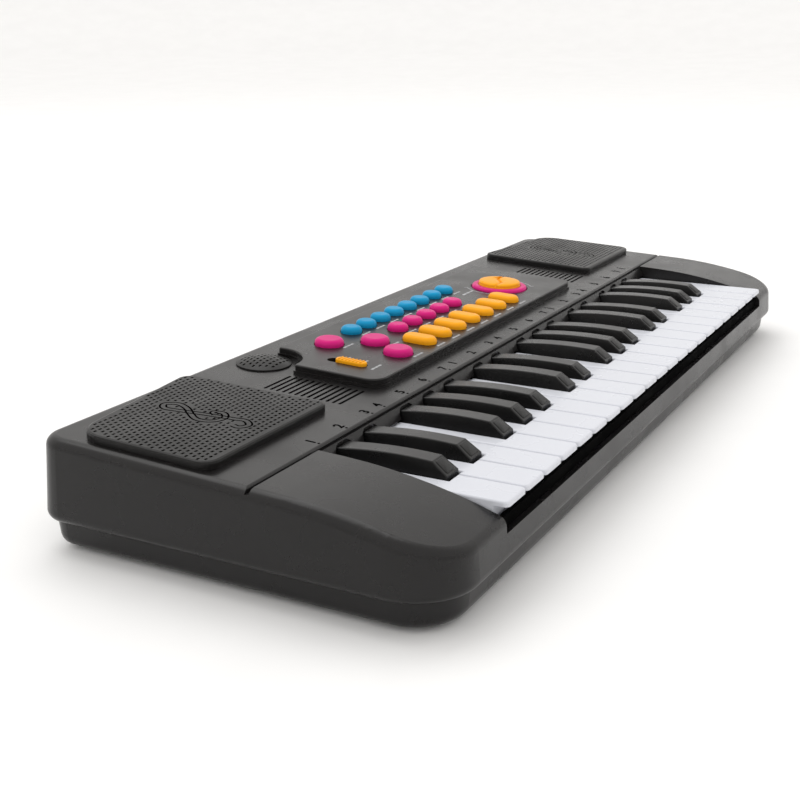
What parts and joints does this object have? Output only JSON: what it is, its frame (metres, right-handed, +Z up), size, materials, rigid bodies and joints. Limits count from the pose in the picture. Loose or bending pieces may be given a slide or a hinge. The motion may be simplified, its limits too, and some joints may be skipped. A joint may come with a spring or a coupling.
{
  "type": "toy electronic keyboard",
  "caption": "Toy electronic keyboard with mini piano keys, a raised control panel of coloured buttons and a speaker grille at each side.",
  "frame": {"origin": "middle of the footprint on the surface the rubber feet stand on", "axes": "+X along the keys towards the high notes, +Y from the player to the back, +Z up"},
  "size_m": [0.449, 0.1656, 0.0491],
  "materials": {
    "case_black": "moulded black ABS, satin sheen",
    "grille_black": "moulded black plastic with a fine dimpled grille",
    "white_keys": "glossy bluish white plastic",
    "black_keys": "satin black plastic",
    "blue_caps": "glossy blue plastic",
    "pink_caps": "glossy pink plastic",
    "yellow_caps": "glossy yellow plastic",
    "feet_rubber": "black rubber",
    "contact_silicone": "grey silicone rubber",
    "screw_steel": "zinc plated steel",
    "contact_steel": "nickel plated spring steel",
    "frame_grey": "moulded dark plastic",
    "board_green": "green circuit board",
    "speaker_metal": "black painted steel basket with a paper cone"
  },
  "bodies": {
    "case": {"top_case": "case_black", "bottom_case": "case_black", "rubber_feet": "feet_rubber", "case_screws": "screw_steel", "battery_contacts": "contact_steel", "key_frame": "frame_grey", "contact_board": "board_green", "contact_rubber": "contact_silicone", "control_panel": "case_black", "main_board": "board_green", "dial_ring": "pink_caps", "left_speaker_grille": "grille_black", "right_speaker_grille": "grille_black", "loudspeakers": "speaker_metal"},
    "battery_door_body": {"battery_door": "case_black"},
    "power_slider_body": {"power_slider": "yellow_caps"},
    "blue_buttons_body": {"blue_buttons": "blue_caps"},
    "pink_buttons_body": {"pink_buttons": "pink_caps"},
    "yellow_buttons_body": {"yellow_buttons": "yellow_caps"},
    "dial_rocker_body": {"dial_rocker": "yellow_caps"},
    "large_pink_button_1_body": {"large_pink_button_1": "pink_caps"},
    "large_pink_button_2_body": {"large_pink_button_2": "pink_caps"},
    "large_pink_button_3_body": {"large_pink_button_3": "pink_caps"},
    "white_key_01_body": {"white_key_01": "white_keys"},
    "white_key_02_body": {"white_key_02": "white_keys"},
    "white_key_03_body": {"white_key_03": "white_keys"},
    "white_key_04_body": {"white_key_04": "white_keys"},
    "white_key_05_body": {"white_key_05": "white_keys"},
    "white_key_06_body": {"white_key_06": "white_keys"},
    "white_key_07_body": {"white_key_07": "white_keys"},
    "white_key_08_body": {"white_key_08": "white_keys"},
    "white_key_09_body": {"white_key_09": "white_keys"},
    "white_key_10_body": {"white_key_10": "white_keys"},
    "white_key_11_body": {"white_key_11": "white_keys"},
    "white_key_12_body": {"white_key_12": "white_keys"},
    "white_key_13_body": {"white_key_13": "white_keys"},
    "white_key_14_body": {"white_key_14": "white_keys"},
    "white_key_15_body": {"white_key_15": "white_keys"},
    "white_key_16_body": {"white_key_16": "white_keys"},
    "white_key_17_body": {"white_key_17": "white_keys"},
    "white_key_18_body": {"white_key_18": "white_keys"},
    "white_key_19_body": {"white_key_19": "white_keys"},
    "white_key_20_body": {"white_key_20": "white_keys"},
    "white_key_21_body": {"white_key_21": "white_keys"},
    "white_key_22_body": {"white_key_22": "white_keys"},
    "black_key_01_body": {"black_key_01": "black_keys"},
    "black_key_02_body": {"black_key_02": "black_keys"},
    "black_key_03_body": {"black_key_03": "black_keys"},
    "black_key_04_body": {"black_key_04": "black_keys"},
    "black_key_05_body": {"black_key_05": "black_keys"},
    "black_key_06_body": {"black_key_06": "black_keys"},
    "black_key_07_body": {"black_key_07": "black_keys"},
    "black_key_08_body": {"black_key_08": "black_keys"},
    "black_key_09_body": {"black_key_09": "black_keys"},
    "black_key_10_body": {"black_key_10": "black_keys"},
    "black_key_11_body": {"black_key_11": "black_keys"},
    "black_key_12_body": {"black_key_12": "black_keys"},
    "black_key_13_body": {"black_key_13": "black_keys"},
    "black_key_14_body": {"black_key_14": "black_keys"},
    "black_key_15_body": {"black_key_15": "black_keys"}
  },
  "joints": [
    {"name": "white_key_01_hinge", "type": "hinge", "parent": "case", "child": "white_key_01_body", "pos_m": [0, 0.0095, 0.025], "axis": [1, 0, 0], "range_deg": [0, 2.2], "stiffness_Nm_per_rad": 0.5, "springref_deg": -3.44},
    {"name": "white_key_02_hinge", "type": "hinge", "parent": "case", "child": "white_key_02_body", "pos_m": [0, 0.0095, 0.025], "axis": [1, 0, 0], "range_deg": [0, 2.2], "stiffness_Nm_per_rad": 0.5, "springref_deg": -3.44},
    {"name": "white_key_03_hinge", "type": "hinge", "parent": "case", "child": "white_key_03_body", "pos_m": [0, 0.0095, 0.025], "axis": [1, 0, 0], "range_deg": [0, 2.2], "stiffness_Nm_per_rad": 0.5, "springref_deg": -3.44},
    {"name": "white_key_04_hinge", "type": "hinge", "parent": "case", "child": "white_key_04_body", "pos_m": [0, 0.0095, 0.025], "axis": [1, 0, 0], "range_deg": [0, 2.2], "stiffness_Nm_per_rad": 0.5, "springref_deg": -3.44},
    {"name": "white_key_05_hinge", "type": "hinge", "parent": "case", "child": "white_key_05_body", "pos_m": [0, 0.0095, 0.025], "axis": [1, 0, 0], "range_deg": [0, 2.2], "stiffness_Nm_per_rad": 0.5, "springref_deg": -3.44},
    {"name": "white_key_06_hinge", "type": "hinge", "parent": "case", "child": "white_key_06_body", "pos_m": [0, 0.0095, 0.025], "axis": [1, 0, 0], "range_deg": [0, 2.2], "stiffness_Nm_per_rad": 0.5, "springref_deg": -3.44},
    {"name": "white_key_07_hinge", "type": "hinge", "parent": "case", "child": "white_key_07_body", "pos_m": [0, 0.0095, 0.025], "axis": [1, 0, 0], "range_deg": [0, 2.2], "stiffness_Nm_per_rad": 0.5, "springref_deg": -3.44},
    {"name": "white_key_08_hinge", "type": "hinge", "parent": "case", "child": "white_key_08_body", "pos_m": [0, 0.0095, 0.025], "axis": [1, 0, 0], "range_deg": [0, 2.2], "stiffness_Nm_per_rad": 0.5, "springref_deg": -3.44},
    {"name": "white_key_09_hinge", "type": "hinge", "parent": "case", "child": "white_key_09_body", "pos_m": [0, 0.0095, 0.025], "axis": [1, 0, 0], "range_deg": [0, 2.2], "stiffness_Nm_per_rad": 0.5, "springref_deg": -3.44},
    {"name": "white_key_10_hinge", "type": "hinge", "parent": "case", "child": "white_key_10_body", "pos_m": [0, 0.0095, 0.025], "axis": [1, 0, 0], "range_deg": [0, 2.2], "stiffness_Nm_per_rad": 0.5, "springref_deg": -3.44},
    {"name": "white_key_11_hinge", "type": "hinge", "parent": "case", "child": "white_key_11_body", "pos_m": [0, 0.0095, 0.025], "axis": [1, 0, 0], "range_deg": [0, 2.2], "stiffness_Nm_per_rad": 0.5, "springref_deg": -3.44},
    {"name": "white_key_12_hinge", "type": "hinge", "parent": "case", "child": "white_key_12_body", "pos_m": [0, 0.0095, 0.025], "axis": [1, 0, 0], "range_deg": [0, 2.2], "stiffness_Nm_per_rad": 0.5, "springref_deg": -3.44},
    {"name": "white_key_13_hinge", "type": "hinge", "parent": "case", "child": "white_key_13_body", "pos_m": [0, 0.0095, 0.025], "axis": [1, 0, 0], "range_deg": [0, 2.2], "stiffness_Nm_per_rad": 0.5, "springref_deg": -3.44},
    {"name": "white_key_14_hinge", "type": "hinge", "parent": "case", "child": "white_key_14_body", "pos_m": [0, 0.0095, 0.025], "axis": [1, 0, 0], "range_deg": [0, 2.2], "stiffness_Nm_per_rad": 0.5, "springref_deg": -3.44},
    {"name": "white_key_15_hinge", "type": "hinge", "parent": "case", "child": "white_key_15_body", "pos_m": [0, 0.0095, 0.025], "axis": [1, 0, 0], "range_deg": [0, 2.2], "stiffness_Nm_per_rad": 0.5, "springref_deg": -3.44},
    {"name": "white_key_16_hinge", "type": "hinge", "parent": "case", "child": "white_key_16_body", "pos_m": [0, 0.0095, 0.025], "axis": [1, 0, 0], "range_deg": [0, 2.2], "stiffness_Nm_per_rad": 0.5, "springref_deg": -3.44},
    {"name": "white_key_17_hinge", "type": "hinge", "parent": "case", "child": "white_key_17_body", "pos_m": [0, 0.0095, 0.025], "axis": [1, 0, 0], "range_deg": [0, 2.2], "stiffness_Nm_per_rad": 0.5, "springref_deg": -3.44},
    {"name": "white_key_18_hinge", "type": "hinge", "parent": "case", "child": "white_key_18_body", "pos_m": [0, 0.0095, 0.025], "axis": [1, 0, 0], "range_deg": [0, 2.2], "stiffness_Nm_per_rad": 0.5, "springref_deg": -3.44},
    {"name": "white_key_19_hinge", "type": "hinge", "parent": "case", "child": "white_key_19_body", "pos_m": [0, 0.0095, 0.025], "axis": [1, 0, 0], "range_deg": [0, 2.2], "stiffness_Nm_per_rad": 0.5, "springref_deg": -3.44},
    {"name": "white_key_20_hinge", "type": "hinge", "parent": "case", "child": "white_key_20_body", "pos_m": [0, 0.0095, 0.025], "axis": [1, 0, 0], "range_deg": [0, 2.2], "stiffness_Nm_per_rad": 0.5, "springref_deg": -3.44},
    {"name": "white_key_21_hinge", "type": "hinge", "parent": "case", "child": "white_key_21_body", "pos_m": [0, 0.0095, 0.025], "axis": [1, 0, 0], "range_deg": [0, 2.2], "stiffness_Nm_per_rad": 0.5, "springref_deg": -3.44},
    {"name": "white_key_22_hinge", "type": "hinge", "parent": "case", "child": "white_key_22_body", "pos_m": [0, 0.0095, 0.025], "axis": [1, 0, 0], "range_deg": [0, 2.2], "stiffness_Nm_per_rad": 0.5, "springref_deg": -3.44},
    {"name": "black_key_01_hinge", "type": "hinge", "parent": "case", "child": "black_key_01_body", "pos_m": [0, 0.0095, 0.025], "axis": [1, 0, 0], "range_deg": [0, 2.2], "stiffness_Nm_per_rad": 0.5, "springref_deg": -3.44},
    {"name": "black_key_02_hinge", "type": "hinge", "parent": "case", "child": "black_key_02_body", "pos_m": [0, 0.0095, 0.025], "axis": [1, 0, 0], "range_deg": [0, 2.2], "stiffness_Nm_per_rad": 0.5, "springref_deg": -3.44},
    {"name": "black_key_03_hinge", "type": "hinge", "parent": "case", "child": "black_key_03_body", "pos_m": [0, 0.0095, 0.025], "axis": [1, 0, 0], "range_deg": [0, 2.2], "stiffness_Nm_per_rad": 0.5, "springref_deg": -3.44},
    {"name": "black_key_04_hinge", "type": "hinge", "parent": "case", "child": "black_key_04_body", "pos_m": [0, 0.0095, 0.025], "axis": [1, 0, 0], "range_deg": [0, 2.2], "stiffness_Nm_per_rad": 0.5, "springref_deg": -3.44},
    {"name": "black_key_05_hinge", "type": "hinge", "parent": "case", "child": "black_key_05_body", "pos_m": [0, 0.0095, 0.025], "axis": [1, 0, 0], "range_deg": [0, 2.2], "stiffness_Nm_per_rad": 0.5, "springref_deg": -3.44},
    {"name": "black_key_06_hinge", "type": "hinge", "parent": "case", "child": "black_key_06_body", "pos_m": [0, 0.0095, 0.025], "axis": [1, 0, 0], "range_deg": [0, 2.2], "stiffness_Nm_per_rad": 0.5, "springref_deg": -3.44},
    {"name": "black_key_07_hinge", "type": "hinge", "parent": "case", "child": "black_key_07_body", "pos_m": [0, 0.0095, 0.025], "axis": [1, 0, 0], "range_deg": [0, 2.2], "stiffness_Nm_per_rad": 0.5, "springref_deg": -3.44},
    {"name": "black_key_08_hinge", "type": "hinge", "parent": "case", "child": "black_key_08_body", "pos_m": [0, 0.0095, 0.025], "axis": [1, 0, 0], "range_deg": [0, 2.2], "stiffness_Nm_per_rad": 0.5, "springref_deg": -3.44},
    {"name": "black_key_09_hinge", "type": "hinge", "parent": "case", "child": "black_key_09_body", "pos_m": [0, 0.0095, 0.025], "axis": [1, 0, 0], "range_deg": [0, 2.2], "stiffness_Nm_per_rad": 0.5, "springref_deg": -3.44},
    {"name": "black_key_10_hinge", "type": "hinge", "parent": "case", "child": "black_key_10_body", "pos_m": [0, 0.0095, 0.025], "axis": [1, 0, 0], "range_deg": [0, 2.2], "stiffness_Nm_per_rad": 0.5, "springref_deg": -3.44},
    {"name": "black_key_11_hinge", "type": "hinge", "parent": "case", "child": "black_key_11_body", "pos_m": [0, 0.0095, 0.025], "axis": [1, 0, 0], "range_deg": [0, 2.2], "stiffness_Nm_per_rad": 0.5, "springref_deg": -3.44},
    {"name": "black_key_12_hinge", "type": "hinge", "parent": "case", "child": "black_key_12_body", "pos_m": [0, 0.0095, 0.025], "axis": [1, 0, 0], "range_deg": [0, 2.2], "stiffness_Nm_per_rad": 0.5, "springref_deg": -3.44},
    {"name": "black_key_13_hinge", "type": "hinge", "parent": "case", "child": "black_key_13_body", "pos_m": [0, 0.0095, 0.025], "axis": [1, 0, 0], "range_deg": [0, 2.2], "stiffness_Nm_per_rad": 0.5, "springref_deg": -3.44},
    {"name": "black_key_14_hinge", "type": "hinge", "parent": "case", "child": "black_key_14_body", "pos_m": [0, 0.0095, 0.025], "axis": [1, 0, 0], "range_deg": [0, 2.2], "stiffness_Nm_per_rad": 0.5, "springref_deg": -3.44},
    {"name": "black_key_15_hinge", "type": "hinge", "parent": "case", "child": "black_key_15_body", "pos_m": [0, 0.0095, 0.025], "axis": [1, 0, 0], "range_deg": [0, 2.2], "stiffness_Nm_per_rad": 0.5, "springref_deg": -3.44},
    {"name": "blue_buttons_press", "type": "slide", "parent": "case", "child": "blue_buttons_body", "axis": [0, 0.046, -0.9989], "range_m": [0, 0.0012], "stiffness_N_per_m": 400, "springref_m": -0.0015},
    {"name": "pink_buttons_press", "type": "slide", "parent": "case", "child": "pink_buttons_body", "axis": [0, 0.046, -0.9989], "range_m": [0, 0.0012], "stiffness_N_per_m": 400, "springref_m": -0.0015},
    {"name": "yellow_buttons_press", "type": "slide", "parent": "case", "child": "yellow_buttons_body", "axis": [0, 0.046, -0.9989], "range_m": [0, 0.0012], "stiffness_N_per_m": 400, "springref_m": -0.0015},
    {"name": "large_pink_button_1_press", "type": "slide", "parent": "case", "child": "large_pink_button_1_body", "axis": [0, 0.046, -0.9989], "range_m": [0, 0.0012], "stiffness_N_per_m": 300, "springref_m": -0.0012},
    {"name": "large_pink_button_2_press", "type": "slide", "parent": "case", "child": "large_pink_button_2_body", "axis": [0, 0.046, -0.9989], "range_m": [0, 0.0012], "stiffness_N_per_m": 300, "springref_m": -0.0012},
    {"name": "large_pink_button_3_press", "type": "slide", "parent": "case", "child": "large_pink_button_3_body", "axis": [0, 0.046, -0.9989], "range_m": [0, 0.0012], "stiffness_N_per_m": 300, "springref_m": -0.0012},
    {"name": "dial_rocker_tilt", "type": "hinge", "parent": "case", "child": "dial_rocker_body", "pos_m": [0.067, 0.03093, 0.04448], "axis": [1, 0, 0], "range_deg": [-3, 3], "stiffness_Nm_per_rad": 0.05},
    {"name": "power_slider_slide", "type": "slide", "parent": "case", "child": "power_slider_body", "axis": [0, 0.9989, 0.046], "range_m": [0, 0.0038]},
    {"name": "battery_door_removal", "type": "slide", "parent": "case", "child": "battery_door_body", "axis": [0, 0, -1], "range_m": [0, 0.03]}
  ]
}
